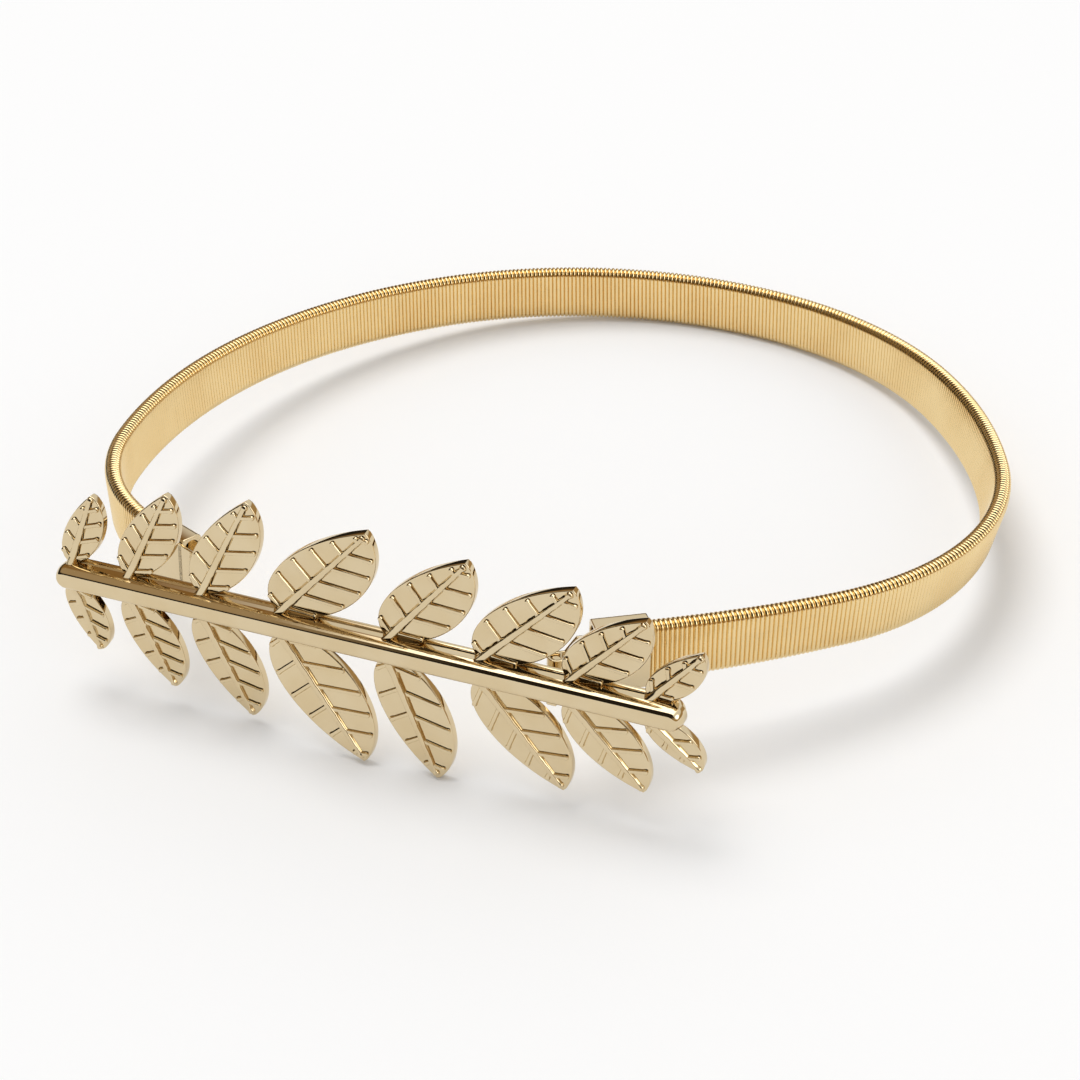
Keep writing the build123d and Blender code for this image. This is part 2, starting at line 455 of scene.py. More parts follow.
@dataclass(frozen=True)
class GoldFinish:
    """A gold plating: two tones that cloud together, its polish, and the ripple of the metal below."""

    name: str
    slot: Slot
    tone: Colour
    deep: Colour
    smooth: float
    rough: float
    cloud_scale: float
    ripple_scale: float
    ripple: float
    grain: tuple[float, float, float]
    grain_depth: float
    cloud_span: Span = (0.3, 0.72)
    polish_span: Span = (0.32, 0.68)
    cloud_share: float = 0.55
    grain_share: float = 0.45

    def material(self) -> bpy.types.Material:
        """Build the procedural material.

        Returns:
            The material, with colour, roughness and bump from its nodes.
        """
        made, kit = new_material(self.name)
        place = kit.node("ShaderNodeTexCoord").output("Object")
        cloud = kit.noise(place, self.cloud_scale, 4.0)
        ripple = kit.noise(place, self.ripple_scale, 2.0)
        along = kit.node("ShaderNodeVectorMath", {"operation": "MULTIPLY"}, {0: place, 1: self.grain})
        grain = kit.noise(along, 1.0, 3.0)
        colour = kit.blend(kit.ramp(cloud, *self.cloud_span), self.tone, self.deep)
        wear = self.cloud_share * cloud + self.grain_share * grain
        rough = kit.ramp(wear, *self.polish_span, self.smooth, self.rough)
        bump = kit.node(
            "ShaderNodeBump",
            None,
            {"Strength": 1.0, "Distance": 1.0, "Height": self.ripple * ripple + self.grain_depth * grain},
        )
        shader = kit.node(
            "ShaderNodeBsdfPrincipled",
            None,
            {"Base Color": colour, "Roughness": rough, "Metallic": 1.0, "Normal": bump},
        )
        kit.node("ShaderNodeOutputMaterial", None, {"Surface": shader})
        return made

    def dress(self, piece: bpy.types.Object, *nodes: str) -> None:
        """Give a piece this finish, ride it on the part and let it stand for its solids.

        Args:
            piece: the mesh object.
            nodes: names of the solids that it replaces.
        """
        made = bpy.data.materials.get(self.name) or self.material()
        piece.data.materials.append(made)
        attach(piece, "root")
        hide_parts(*nodes)
        log.info("%s: %d faces", piece.name, len(piece.data.polygons))


POLISHED = GoldFinish(
    name="mirror_gold_plating",
    slot=Slot.POLISHED,
    tone=(0.70, 0.575, 0.37, 1.0),
    deep=(0.67, 0.535, 0.325, 1.0),
    smooth=0.02,
    rough=0.055,
    cloud_scale=160.0,
    ripple_scale=420.0,
    ripple=0.000004,
    grain=(5200.0, 5200.0, 5200.0),
    grain_depth=0.0000008,
)

SATIN = GoldFinish(
    name="satin_gold_plating",
    slot=Slot.SATIN,
    tone=(0.86, 0.665, 0.35, 1.0),
    deep=(0.82, 0.61, 0.30, 1.0),
    smooth=0.12,
    rough=0.2,
    cloud_scale=90.0,
    ripple_scale=600.0,
    ripple=0.000004,
    grain=(4200.0, 4200.0, 380.0),
    grain_depth=0.0000025,
)


@dataclass(frozen=True)
class BandLine:
    """The band's plan line as tangent arcs, its section, and the lean of its wall along the line."""

    radii: tuple[float, ...] = (175.0, 47.5, 85.5, 59.0, 69.0, 83.5, 33.5)
    sweeps: tuple[float, ...] = (10.2, 65.7, 21.3, 40.6, 51.1, 57.0, 55.0)
    mouth: tuple[float, float] = (28.15, -61.15)
    heading: float = 35.0
    height: float = 10.0
    thickness: float = 2.8
    lean_at: tuple[float, ...] = (0.0, 0.1, 0.2, 0.3, 0.43, 0.6, 0.72, 0.85, 0.94, 1.0)
    lean: tuple[float, ...] = (0.0, 7.5, 13.5, 11.0, 0.0, -3.5, 0.0, 5.0, 5.0, 0.0)

    @property
    def mid_height(self) -> float:
        """Level of the band's middle."""
        return self.height / 2

    def length(self) -> float:
        """Length between the two mouths."""
        return sum(r * math.radians(s) for r, s in zip(self.radii, self.sweeps))

    def at(self, run: np.ndarray) -> tuple[np.ndarray, np.ndarray]:
        """Places and headings along the line, straight on past its ends.

        Args:
            run: lengths from the right mouth.

        Returns:
            Rows of x, y, and the headings in radians.
        """
        place = np.zeros((len(run), 2))
        facing = np.zeros(len(run))
        x, y, h = self.mouth[0], self.mouth[1], math.radians(self.heading)
        start = 0.0
        inside = run < 0
        place[inside] = np.column_stack([x + run[inside] * math.cos(h), y + run[inside] * math.sin(h)])
        facing[inside] = h
        for radius, sweep in zip(self.radii, self.sweeps):
            turn = math.radians(sweep)
            centre = (x - radius * math.sin(h), y + radius * math.cos(h))
            inside = (run >= start) & (run <= start + radius * turn)
            a = h + (run[inside] - start) / radius
            place[inside] = np.array(centre) + radius * np.column_stack([np.sin(a), -np.cos(a)])
            facing[inside] = a
            start += radius * turn
            h += turn
            x, y = centre[0] + radius * math.sin(h), centre[1] - radius * math.cos(h)
        inside = run > start
        past = run[inside] - start
        place[inside] = np.column_stack([x + past * math.cos(h), y + past * math.sin(h)])
        facing[inside] = h
        return place, facing

    def lean_along(self, run: np.ndarray) -> np.ndarray:
        """Outward lean of the wall, in radians.

        Args:
            run: lengths from the right mouth.

        Returns:
            One angle per length.
        """
        part = np.clip(run / self.length(), 0.0, 1.0)
        k = np.clip(np.searchsorted(self.lean_at, part, side="right") - 1, 0, len(self.lean_at) - 2)
        at, deg = np.array(self.lean_at), np.array(self.lean)
        share = (part - at[k]) / (at[k + 1] - at[k])
        smooth = share * share * (3 - 2 * share)
        return np.radians(deg[k] + (deg[k + 1] - deg[k]) * smooth)

    def mouth_frame(self, side: Side) -> tuple[np.ndarray, np.ndarray]:
        """Frame of a ferrule: X from the mouth to the tongue, Y towards the sprig.

        Args:
            side: which end of the band.

        Returns:
            The origin and the three axes as rows.
        """
        end = np.array([0.0 if side is Side.RIGHT else self.length()])
        place, facing = self.at(end)
        h = float(facing[0])
        along = np.array([math.cos(h), math.sin(h), 0.0])
        x_dir = -along if side is Side.RIGHT else along
        y_dir = np.array([along[1], -along[0], 0.0])
        origin = np.array([place[0][0], place[0][1], self.mid_height])
        return origin, np.stack([x_dir, y_dir, np.cross(x_dir, y_dir)])


@dataclass
class CoilBand:
    """The stretch band: one wire wound flat, turn against turn."""

    line: BandLine
    wire: float = 0.74
    pitch: float = 0.7336
    insert: float = 6.8
    samples: int = 8
    rim_facets: int = 8
    flat_facets: int = 3
    uneven: float = 0.012
    uneven_rates: Span = (12.9898, 4.137)
    sway: float = 0.02
    sway_rates: Span = (2.399, 0.731)
    tuck: float = 0.06
    tuck_lap: float = 0.3

    def outline(self) -> tuple[np.ndarray, np.ndarray]:
        """Section of the band.

        Returns:
            Places on the section as height and outward offset, and the normals there.
        """
        radius = self.line.thickness / 2
        flat = self.line.height / 2 - radius
        places, normals = [], []
        for end, first in ((flat, -0.5 * math.pi), (-flat, 0.5 * math.pi)):
            for k in range(self.rim_facets + 1):
                a = first + math.pi * k / self.rim_facets
                normals.append((math.cos(a), math.sin(a)))
                places.append((end + radius * math.cos(a), radius * math.sin(a)))
            side = math.sin(first + math.pi)
            for k in range(1, self.flat_facets):
                share = k / self.flat_facets
                places.append((end * (1 - 2 * share), radius * side))
                normals.append((0.0, side))
        return np.array(places), np.array(normals)

    @staticmethod
    def swing(turn: np.ndarray, rates: Span) -> np.ndarray:
        """Uneven swing from turn to turn, between -1 and 1."""
        return np.sin(turn * rates[0]) * np.sin(turn * rates[1])

    def crest(self, ring: np.ndarray) -> np.ndarray:
        """Round back of the wire, a little lower on some turns than on others.

        Args:
            ring: numbers of the rings along the winding.

        Returns:
            Height of each ring, from 0 at the top of a turn downwards.
        """
        radius = self.wire / 2
        across = ((ring % self.samples) / self.samples - 0.5) * self.pitch
        lower = self.uneven * (0.5 + 0.5 * self.swing(ring // self.samples, self.uneven_rates))
        return np.sqrt(np.maximum(radius ** 2 - across ** 2, 0.0)) - radius - lower

    def skin(self, rings: int, around: int) -> list[Face]:
        """Faces of the winding, where each turn's end meets the next turn's start.

        Args:
            rings: rings of vertices along the winding.
            around: vertices on each ring.

        Returns:
            Faces of the closed skin.
        """
        faces: list[Face] = []
        for i in range(rings - 1):
            low, high = i * around, (i + 1) * around
            for j in range(around - 1):
                faces.append((low + j, low + j + 1, high + j + 1, high + j))
            if i + 1 + self.samples < rings:
                ahead = (i + self.samples) * around
                faces.append((low + around - 1, ahead, ahead + around, high + around - 1))
        first = [k * around for k in range(1, self.samples + 1)]
        first += range(around - 1, -1, -1)
        last = list(range((rings - 1) * around, rings * around))
        last += [k * around - 1 for k in range(rings - 1, rings - 1 - self.samples, -1)]
        return [*faces, tuple(first), tuple(last)]

    def build(self) -> bpy.types.Object:
        """Draw the winding as one closed skin whose ribs climb as the wire does.

        Returns:
            The mesh object.
        """
        places, normals = self.outline()
        step = np.linalg.norm(np.roll(places, -1, axis=0) - places, axis=1)
        climb = np.concatenate([[0.0], np.cumsum(step)[:-1]]) / step.sum()
        around = len(places)
        total = self.line.length()
        turns = int((total + 2 * self.insert) / self.pitch)
        rings = (turns - 1) * self.samples + 1
        ring = np.arange(rings)
        sway = self.sway * self.swing(ring // self.samples, self.sway_rates)
        run = -self.insert + (ring[:, None] / self.samples + climb[None, :]) * self.pitch
        run = (run + sway[:, None] * np.sin(2 * math.pi * climb)[None, :]).reshape(-1)
        place, facing = self.line.at(run)
        lean = self.line.lean_along(run)
        held = (run < self.tuck_lap) | (run > total - self.tuck_lap)
        depth = np.repeat(self.crest(ring), around) - np.where(held, self.tuck, 0.0)
        tall = np.tile(places[:, 0], rings) + depth * np.tile(normals[:, 0], rings)
        wide = np.tile(places[:, 1], rings) + depth * np.tile(normals[:, 1], rings)
        up = tall * np.cos(lean) - wide * np.sin(lean)
        out = tall * np.sin(lean) + wide * np.cos(lean)
        points = np.column_stack([
            place[:, 0] + out * np.sin(facing),
            place[:, 1] - out * np.cos(facing),
            self.line.mid_height + up,
        ])
        draft = MeshDraft()
        draft.add(points, self.skin(rings, around))
        return draft.to_object("coil_band")

    def dress(self, piece: bpy.types.Object) -> None:
        """Give the winding its satin plating."""
        SATIN.dress(piece, "spring_band")


@dataclass(frozen=True)
class Leaf:
    """One pair of leaves: place on the stem, length, lean, vein pitch, angles and outer vein angles."""

    at: float
    length: float
    lean: float
    pitch: float
    upper: float
    lower: float
    upper_vein: float
    lower_vein: float


@dataclass(frozen=True)
class LeafSide:
    """One half of a leaf: swell and pull of its edge's handles, its first vein, and its sign across."""

    swell: float
    pull: Span
    first: float
    sign: int


@dataclass
class LeafSprig:
    """The casting: stem, back strip, eight pairs of veined leaves, and the two posts at its back."""

    eyes: list[np.ndarray]
    eye_height: float
    stem_place: tuple[float, float, float] = (-11.4, -76.3, 5.0)
    stem_length: float = 101.5
    stem_height: float = 4.0
    stem_front: float = 2.0
    stem_shoulder: float = 0.8
    stem_crown: float = 3.2
    crown_from_deg: float = 58.0
    crown_to_deg: float = 85.0
    crown_level: float = 0.1
    crown_points: int = 10
    shoulder_points: int = 9
    face_margin: float = 0.15
    strip_height: float = 4.7
    strip_short: float = 1.0
    strip_round: float = 0.9
    strip_lap: float = 0.3
    set_back: float = 0.6
    thickness: float = 1.4
    tip: float = 0.6
    rim: float = 0.2
    tip_ease: float = 1.6
    root_ease: float = 1.2
    root_lap: float = 0.4
    edge_steps: int = 44
    outer: LeafSide = LeafSide(0.287, (0.0, 0.55), 0.28, 1)
    inner: LeafSide = LeafSide(0.36, (0.22, 0.88), 0.42, -1)
    rib_back: float = 1.5
    rib_foot: float = 2.6
    rib_reach: float = 0.96
    rib_root: tuple[float, float, float] = (1.6, 1.0, 1.25)
    rib_low: tuple[float, float, float] = (1.55, 0.95, 0.65)
    rib_end: tuple[float, float, float] = (1.0, 0.55, 0.4)
    rib_sink: float = 0.3
    rib_steps: tuple[float, ...] = (-0.5, 0.5, 1.5)
    rib_rings_per_mm: float = 1.4
    rib_waver: float = 0.045
    waver_rates: Span = (2.9, 1.13)
    waver_rise: float = 0.6
    waver_aside: float = 0.7
    bead_room: float = 0.4
    bead: tuple[Span, ...] = ((0.15, 1.12), (0.35, 1.2), (0.55, 1.08), (0.7, 0.75), (0.78, 0.35))
    vein_width: float = 0.74
    vein_top: float = 0.46
    vein_rise: float = 0.38
    vein_sink: float = 0.22
    vein_knee: float = 0.4
    vein_neck: float = 1.14
    vein_bulb: float = 1.22
    vein_margin: float = 0.36
    vein_shortest: float = 0.9
    inner_vein_deg: float = 54.0
    post: float = 1.5
    post_drop: float = 0.3
    post_round: Span = (0.05, 0.25)
    shelf_width: float = 3.4
    shelf_thickness: float = 1.0
    shelf_clear: float = 0.25
    shelf_lap: float = 0.6
    shelf_round: Span = (0.12, 0.06)
    foot_width: float = 1.6
    foot_aside: float = 0.85
    foot_lap: float = 1.0
    foot_corner: float = 0.25
    foot_round: float = 0.15
    pairs: tuple[Leaf, ...] = (
        Leaf(-0.4798, 12.5, -5.0, 2.9, 73.0, 73.5, 62.0, 87.0),
        Leaf(-0.3823, 16.6, -2.5, 3.1, 66.0, 66.0, 62.0, 87.0),
        Leaf(-0.2611, 18.7, -2.5, 3.6, 65.0, 65.5, 71.0, 87.0),
        Leaf(-0.134, 23.6, 6.0, 4.1, 49.0, 51.0, 82.0, 87.0),
        Leaf(0.0414, 20.6, 3.5, 4.15, 51.0, 65.0, 74.0, 84.0),
        Leaf(0.1852, 21.0, 1.5, 4.1, 46.0, 48.5, 84.0, 61.0),
        Leaf(0.3222, 17.6, 4.0, 3.95, 47.5, 44.5, 64.0, 63.0),
        Leaf(0.4433, 11.2, -6.0, 3.35, 48.5, 44.0, 52.0, 64.0),
    )

    def edge_curve(self, length: float, side: LeafSide, steps: int) -> np.ndarray:
        """Edge of one half of a leaf from root to tip.

        Args:
            length: the leaf's length.
            side: which half, with its handles as shares of the length.
            steps: number of points, less one.

        Returns:
            Rows of distance along the midrib and half width.
        """
        t = np.linspace(0.0, 1.0, steps + 1)
        u = 3 * (1 - t) ** 2 * t * side.pull[0] + 3 * (1 - t) * t * t * side.pull[1] + t ** 3
        v = 3 * t * (1 - t) * side.swell * length + t ** 3 * self.tip / 2
        return np.column_stack([u * length, v])

    def vein_run(self, length: float, start: float, angle: float, side: LeafSide) -> float:
        """Length of a side vein that stops a little short of the leaf's edge.

        Args:
            length: the leaf's length.
            start: where it leaves the midrib.
            angle: its angle to the midrib, in degrees.
            side: the half of the leaf that it crosses.

        Returns:
            The vein's length.
        """
        fine_steps, stride = 200, 0.05
        curve = self.edge_curve(length, side, fine_steps)
        reach = 0.0
        while reach < length:
            u = start + (reach + self.vein_margin) * math.cos(math.radians(angle))
            v = (reach + self.vein_margin) * math.sin(math.radians(angle))
            if u >= length or v > np.interp(u, curve[:, 0], curve[:, 1]):
                break
            reach += stride
        return reach

    def blade(self, length: float) -> Shell:
        """Flat plate of a leaf with its rounded rim.

        Args:
            length: the leaf's length.

        Returns:
            Points and faces in the leaf's own frame.
        """
        outer = self.edge_curve(length, self.outer, self.edge_steps)
        inner = self.edge_curve(length, self.inner, self.edge_steps)
        outline = np.concatenate([inner * (1, self.inner.sign), outer[:0:-1]])
        near_tip = np.clip((length - outline[:, 0]) / self.tip_ease, 0.0, 1.0)
        near_root = np.clip(outline[:, 0] / self.root_ease, 0.0, 1.0)
        ease = 0.5 + 0.5 * np.minimum(near_tip, near_root)
        return plate(outline, -self.thickness, 0.0, self.rim, self.rim, ease=ease)

    @staticmethod
    def ridge_section(base: float, top: float, rise: float, sink: float, knee: float = 0.0) -> np.ndarray:
        """Section of a rib or vein: steep sides, a flat top and eased corners.

        Args:
            base: width at the plate.
            top: width at the top.
            rise: height over the plate.
            sink: depth below the plate.
            knee: share of the rise that is nearly upright, before the sides slope in.

        Returns:
            Rows of across and up, counter-clockwise seen from the tip.
        """
        batter, crisp, soft = 0.1, 0.06, 0.14
        below_bend, over_bend = 0.8, 0.12
        down_slope, most_slope = 1.4, 0.4
        foot = np.array([base / 2, 0.0])
        bend = foot + np.array([-batter * rise * knee, rise * knee])
        crown = np.array([top / 2, rise])
        slope = bend - crown
        long = np.linalg.norm(slope)
        ease = (crisp if knee > 0.0 else soft) * top
        start = crown + slope / long * min(ease * down_slope, most_slope * long)
        end = crown - np.array([ease, 0.0])
        half = [(base / 2, -sink), tuple(foot)]
        if knee > 0.0:
            half += [tuple(foot + below_bend * (bend - foot)), tuple(bend + over_bend * (crown - bend))]
        for t in (0.0, 0.25, 0.5, 0.75, 1.0):
            half.append(tuple((1 - t) ** 2 * start + 2 * (1 - t) * t * crown + t * t * end))
        other = [(-x, z) for x, z in reversed(half)]
        return np.array(half + other)

    def midrib(self, length: float) -> Shell:
        """Raised midrib, high where it leaves the stem.

        Args:
            length: the leaf's length.

        Returns:
            Points and faces in the leaf's own frame.
        """
        reach = self.rib_reach * length - self.bead_room
        stations = [-self.rib_back, *self.rib_steps, self.rib_foot]
        stations += list(np.linspace(self.rib_foot, reach, 4 + int(self.rib_rings_per_mm * length))[1:])
        fast, slow = self.waver_rates
        rows = []
        for u in stations:
            if u <= self.rib_foot:
                share = (u + self.rib_back) / (self.rib_foot + self.rib_back)
                low, high = np.array(self.rib_root), np.array(self.rib_low)
                waver = 0.0
            else:
                share = (u - self.rib_foot) / (reach - self.rib_foot)
                low, high = np.array(self.rib_low), np.array(self.rib_end)
                waver = self.rib_waver * math.sin(fast * u + length) * math.sin(slow * u + 2 * length)
            base, top, rise = low + (high - low) * share
            section = self.ridge_section(
                base + waver, top - waver, rise + self.waver_rise * waver, self.rib_sink,
            )
            section = section + (self.waver_aside * waver, 0.0)
            rows.append(np.column_stack([np.full(len(section), u), section]))
        for ahead, shrink in self.bead:
            section = self.ridge_section(*(np.array(self.rib_end) * shrink), self.rib_sink)
            rows.append(np.column_stack([np.full(len(section), reach + ahead), section]))
        return capped(rows)

    def vein(self, start: float, angle: float, run: float) -> Shell:
        """Side vein: a slim flat-topped ridge with a round end.

        Args:
            start: where it leaves the midrib.
            angle: signed angle to the midrib, in degrees.
            run: its length.

        Returns:
            Points and faces in the leaf's own frame.
        """
        half = self.vein_width / 2
        section = self.ridge_section(
            self.vein_width, self.vein_top, self.vein_rise, self.vein_sink, self.vein_knee,
        )
        stations = [
            (0.1, 1.0),
            (run - 2.2 * half, 1.0),
            (run - 1.6 * half, self.vein_neck),
            (run - half, self.vein_bulb),
        ]
        facets, blunt = 5, 5.3
        for k in range(1, facets + 1):
            a = 0.5 * math.pi * k / blunt
            stations.append((run - half + half * math.sin(a), self.vein_bulb * math.cos(a)))
        turn = math.radians(angle)
        rows = []
        for at, scale in stations:
            side = section[:, 0] * scale
            up = np.where(section[:, 1] > 0, section[:, 1] * math.sqrt(scale), section[:, 1])
            u = start + at * math.cos(turn) - side * math.sin(turn)
            v = at * math.sin(turn) + side * math.cos(turn)
            rows.append(np.column_stack([u, v, up]))
        return capped(rows)

    def leaf_shells(self, leaf: Leaf, outer_deg: float) -> list[Shell]:
        """Every shell of a leaf, in its own frame.

        Args:
            leaf: the pair that it belongs to.
            outer_deg: angle of the veins on its outer side.

        Returns:
            Pairs of points and faces.
        """
        length = leaf.length
        shells = [self.blade(length), self.midrib(length)]
        for side, angle in ((self.outer, outer_deg), (self.inner, self.inner_vein_deg)):
            start = side.first * leaf.pitch
            while start < self.rib_reach * length:
                run = self.vein_run(length, start, angle, side)
                if run > self.vein_shortest:
                    shells.append(self.vein(start, side.sign * angle, run))
                start += leaf.pitch
        return shells

    def on_stem(self, points: np.ndarray, leaf: Leaf, angle: float) -> np.ndarray:
        """Set a leaf's points on the upper side of the stem.

        Args:
            points: rows in the leaf's own frame.
            leaf: the pair that it belongs to.
            angle: its angle to the stem, in degrees.

        Returns:
            Rows in the stem's frame.
        """
        a, b = math.radians(angle), math.radians(leaf.lean)
        x_dir = np.array([math.cos(a), -math.sin(a) * math.sin(b), math.sin(a) * math.cos(b)])
        z_dir = np.array([0.0, -math.cos(b), -math.sin(b)])
        root = self.stem_height / 2 - self.root_lap
        origin = np.array([leaf.at * self.stem_length, self.set_back, root])
        return origin + points @ np.stack([x_dir, np.cross(z_dir, x_dir), z_dir])

    def upright(self, points: np.ndarray) -> np.ndarray:
        """Turn a plate drawn as u, v, w so that u runs along the stem, v up and w towards the viewer."""
        return np.column_stack([points[:, 0], -points[:, 2], points[:, 1]])

    def stem_profile(self) -> list[tuple[float, float]]:
        """Rounding of the stem from back to front: a gentle crown, a tight shoulder and a flat face.

        Returns:
            Pairs of level towards the viewer and inset from the stem's outline.
        """
        half = self.stem_height / 2
        low, high = math.radians(self.crown_from_deg), math.radians(self.crown_to_deg)
        step = self.stem_shoulder - self.stem_crown
        shoulder = half - self.stem_crown * math.sin(high) - step * math.sin(low)
        centre = self.stem_front - self.stem_shoulder
        pairs = [(-self.set_back - self.strip_lap, 0.0), (self.crown_level, 0.0)]
        for a in np.linspace(high, low, self.crown_points):
            out = shoulder + step * math.sin(low) + self.stem_crown * math.sin(a)
            pairs.append((centre + step * math.cos(low) + self.stem_crown * math.cos(a), half - out))
        for a in np.linspace(low, 0.0, self.shoulder_points)[1:]:
            out = shoulder + self.stem_shoulder * math.sin(a)
            pairs.append((centre + self.stem_shoulder * math.cos(a), half - out))
        pairs.append((self.stem_front, half - shoulder + self.face_margin))
        return pairs

    def stem(self, draft: MeshDraft) -> None:
        """Crowned bar and the flat strip behind it.

        Args:
            draft: takes the shells.
        """
        bar = slot_outline(self.stem_length, self.stem_height, 20)
        points, faces = stacked(bar, self.stem_profile())
        draft.add(self.upright(points) + self.stem_place, faces)
        strip = slot_outline(self.stem_length - self.strip_short, self.strip_height, 16)
        back = -(self.set_back + self.thickness)
        points, faces = plate(strip, back, -self.set_back, self.rim, self.strip_round, 8)
        draft.add(self.upright(points) + self.stem_place, faces)

    def bracket(self, draft: MeshDraft, eye: np.ndarray) -> None:
        """Foot, shelf and upright post that carry one eye of the band.

        Args:
            draft: takes the shells.
            eye: axis of the eye at mid height.
        """
        x, y = eye[0] - self.stem_place[0], eye[1] - self.stem_place[1]
        back = self.set_back + self.thickness
        top = -self.eye_height / 2
        bottom = top - self.shelf_thickness
        high = self.foot_lap - self.strip_height / 2
        foot = rounded_outline(self.foot_width, high - bottom, self.foot_corner)
        foot = foot + np.array([x + self.foot_aside, (high + bottom) / 2])
        points, faces = plate(foot, -back, -self.set_back, self.foot_round, self.foot_round, 3)
        draft.add(self.upright(points) + self.stem_place, faces)
        start = back + self.shelf_clear
        root = back - self.shelf_lap
        width = self.foot_width / 2
        half = self.shelf_width / 2
        left, right = x + self.foot_aside - width, x + self.foot_aside + width
        outline = [(left, root), (right, root), (right, start), (x + half, start)]
        facets = 12
        for k in range(facets + 1):
            a = math.pi * k / facets
            outline.append((x + half * math.cos(a), y + half * math.sin(a)))
        outline += [(x - half, start), (left, start)]
        points, faces = plate(np.array(outline), bottom, top, *self.shelf_round, 3)
        draft.add(points + self.stem_place, faces)
        around = np.array([(math.cos(a), math.sin(a)) for a in np.linspace(0, 2 * math.pi, 33)[:-1]])
        pin = around * self.post / 2 + np.array([x, y])
        low = top - self.post_drop
        points, faces = plate(pin, low, low + self.eye_height, *self.post_round)
        draft.add(points + self.stem_place, faces)

    def build(self) -> bpy.types.Object:
        """Draw the casting.

        Returns:
            The mesh object.
        """
        draft = MeshDraft()
        self.stem(draft)
        place = np.array(self.stem_place)
        over = np.array([1.0, 1.0, -1.0])
        for leaf in self.pairs:
            for points, faces in self.leaf_shells(leaf, leaf.upper_vein):
                draft.add(self.on_stem(points, leaf, leaf.upper) + place, faces)
            for points, faces in self.leaf_shells(leaf, leaf.lower_vein):
                draft.add(self.on_stem(points, leaf, leaf.lower) * over + place, faces, flip=True)
        for eye in self.eyes:
            self.bracket(draft, eye)
        return draft.to_object("sprig_casting")

    def dress(self, piece: bpy.types.Object) -> None:
        """Give the casting its polished plating."""
        POLISHED.dress(piece, "leaf_sprig")


@dataclass
class Ferrule:
    """One folded sheet on an end of the band: sleeve, tapering plate and rolled eye."""

    line: BandLine
    side: Side
    sheet: float = 0.5
    sheet_edge: float = 0.1
    length: float = 8.5
    wall: float = 0.55
    corner: float = 0.8
    lip: tuple[Span, ...] = (
        (0.24, 0.0), (0.12, 0.0), (0.035, 0.06), (0.0, 0.22),
        (0.0, 0.78), (0.035, 0.94), (0.12, 1.0), (0.24, 1.0),
    )
    plate_lap: float = 1.0
    plate_full: float = 2.8
    plate_taper: float = 1.7
    tongue_neck: float = 1.5
    tongue_height: float = 5.0
    eye_bore: float = 1.8
    roll_from: float = -141.0
    roll_to: float = 180.0
    roll_points: int = 49

    def front(self) -> float:
        """Front of the sleeve, from the band's middle."""
        return self.line.thickness / 2 + self.wall

    def eye_spot(self) -> Span:
        """Axis of the rolled eye in the ferrule's own frame, along and across."""
        reach = self.length + self.plate_full + self.plate_taper + self.tongue_neck
        return reach, self.front() + self.eye_bore / 2

    def eye(self) -> np.ndarray:
        """Axis of the rolled eye at mid height, in the loop's frame."""
        origin, axes = self.line.mouth_frame(self.side)
        return origin + np.array([*self.eye_spot(), 0.0]) @ axes

    def sleeve(self) -> Shell:
        """Flattened tube that grips the band, its ends eased.

        Returns:
            Points and faces in the ferrule's own frame.
        """
        deep, tall = self.line.thickness, self.line.height
        facets, hair = 8, 0.001
        outer = rounded_outline(deep + 2 * self.wall, tall + 2 * self.wall, self.corner, facets)
        inner = rounded_outline(deep, tall, deep / 2 - hair, facets)
        far = [(self.length - x, share) for x, share in self.lip]
        rows = []
        for x, share in (*far, *reversed(self.lip)):
            loop = outer + (inner - outer) * share
            rows.append(np.column_stack([np.full(len(loop), x), loop]))
        return np.concatenate(rows), ring_faces(len(rows), len(outer), closed=True)

    def tongue(self) -> Shell:
        """Front plate that narrows to the eye, drawn with its faces inward.

        Returns:
            Points and faces in the ferrule's own frame.
        """
        start, full = self.length - self.plate_lap, self.length + self.plate_full
        neck, reach = full + self.plate_taper, self.eye_spot()[0]
        half = self.line.height / 2 + self.wall - self.corner
        low = self.tongue_height / 2
        upper = [(reach, low), (neck, low), (full, half), (start, half)]
        outline = np.array([*((x, -z) for x, z in reversed(upper)), *upper])
        edge = self.sheet_edge
        points, faces = plate(outline, self.front() - self.sheet, self.front(), edge, edge, 3)
        return np.column_stack([points[:, 0], points[:, 2], points[:, 1]]), faces

    def roll(self) -> Shell:
        """Rolled eye at the tongue's end, drawn with its faces inward.

        Returns:
            Points and faces in the ferrule's own frame.
        """
        reach, across = self.eye_spot()
        section = rounded_outline(self.sheet, self.tongue_height, self.sheet_edge, 3)
        radius = self.eye_bore / 2 + self.sheet / 2 + section[:, 0]
        rows = []
        for a in np.radians(np.linspace(self.roll_from, self.roll_to, self.roll_points)):
            place = [reach + radius * math.cos(a), across + radius * math.sin(a), section[:, 1]]
            rows.append(np.column_stack(place))
        return capped(rows)

    def build(self) -> bpy.types.Object:
        """Draw the folded sheet.

        Returns:
            The mesh object.
        """
        origin, axes = self.line.mouth_frame(self.side)
        draft = MeshDraft()
        for (points, faces), flip in ((self.sleeve(), False), (self.tongue(), True), (self.roll(), True)):
            draft.add(origin + points @ axes, faces, flip)
        return draft.to_object(f"sheet_ferrule_{self.side.value}")

    def dress(self, piece: bpy.types.Object) -> None:
        """Give the sheet its polished plating."""
        POLISHED.dress(piece, f"ferrule_{self.side.value}")


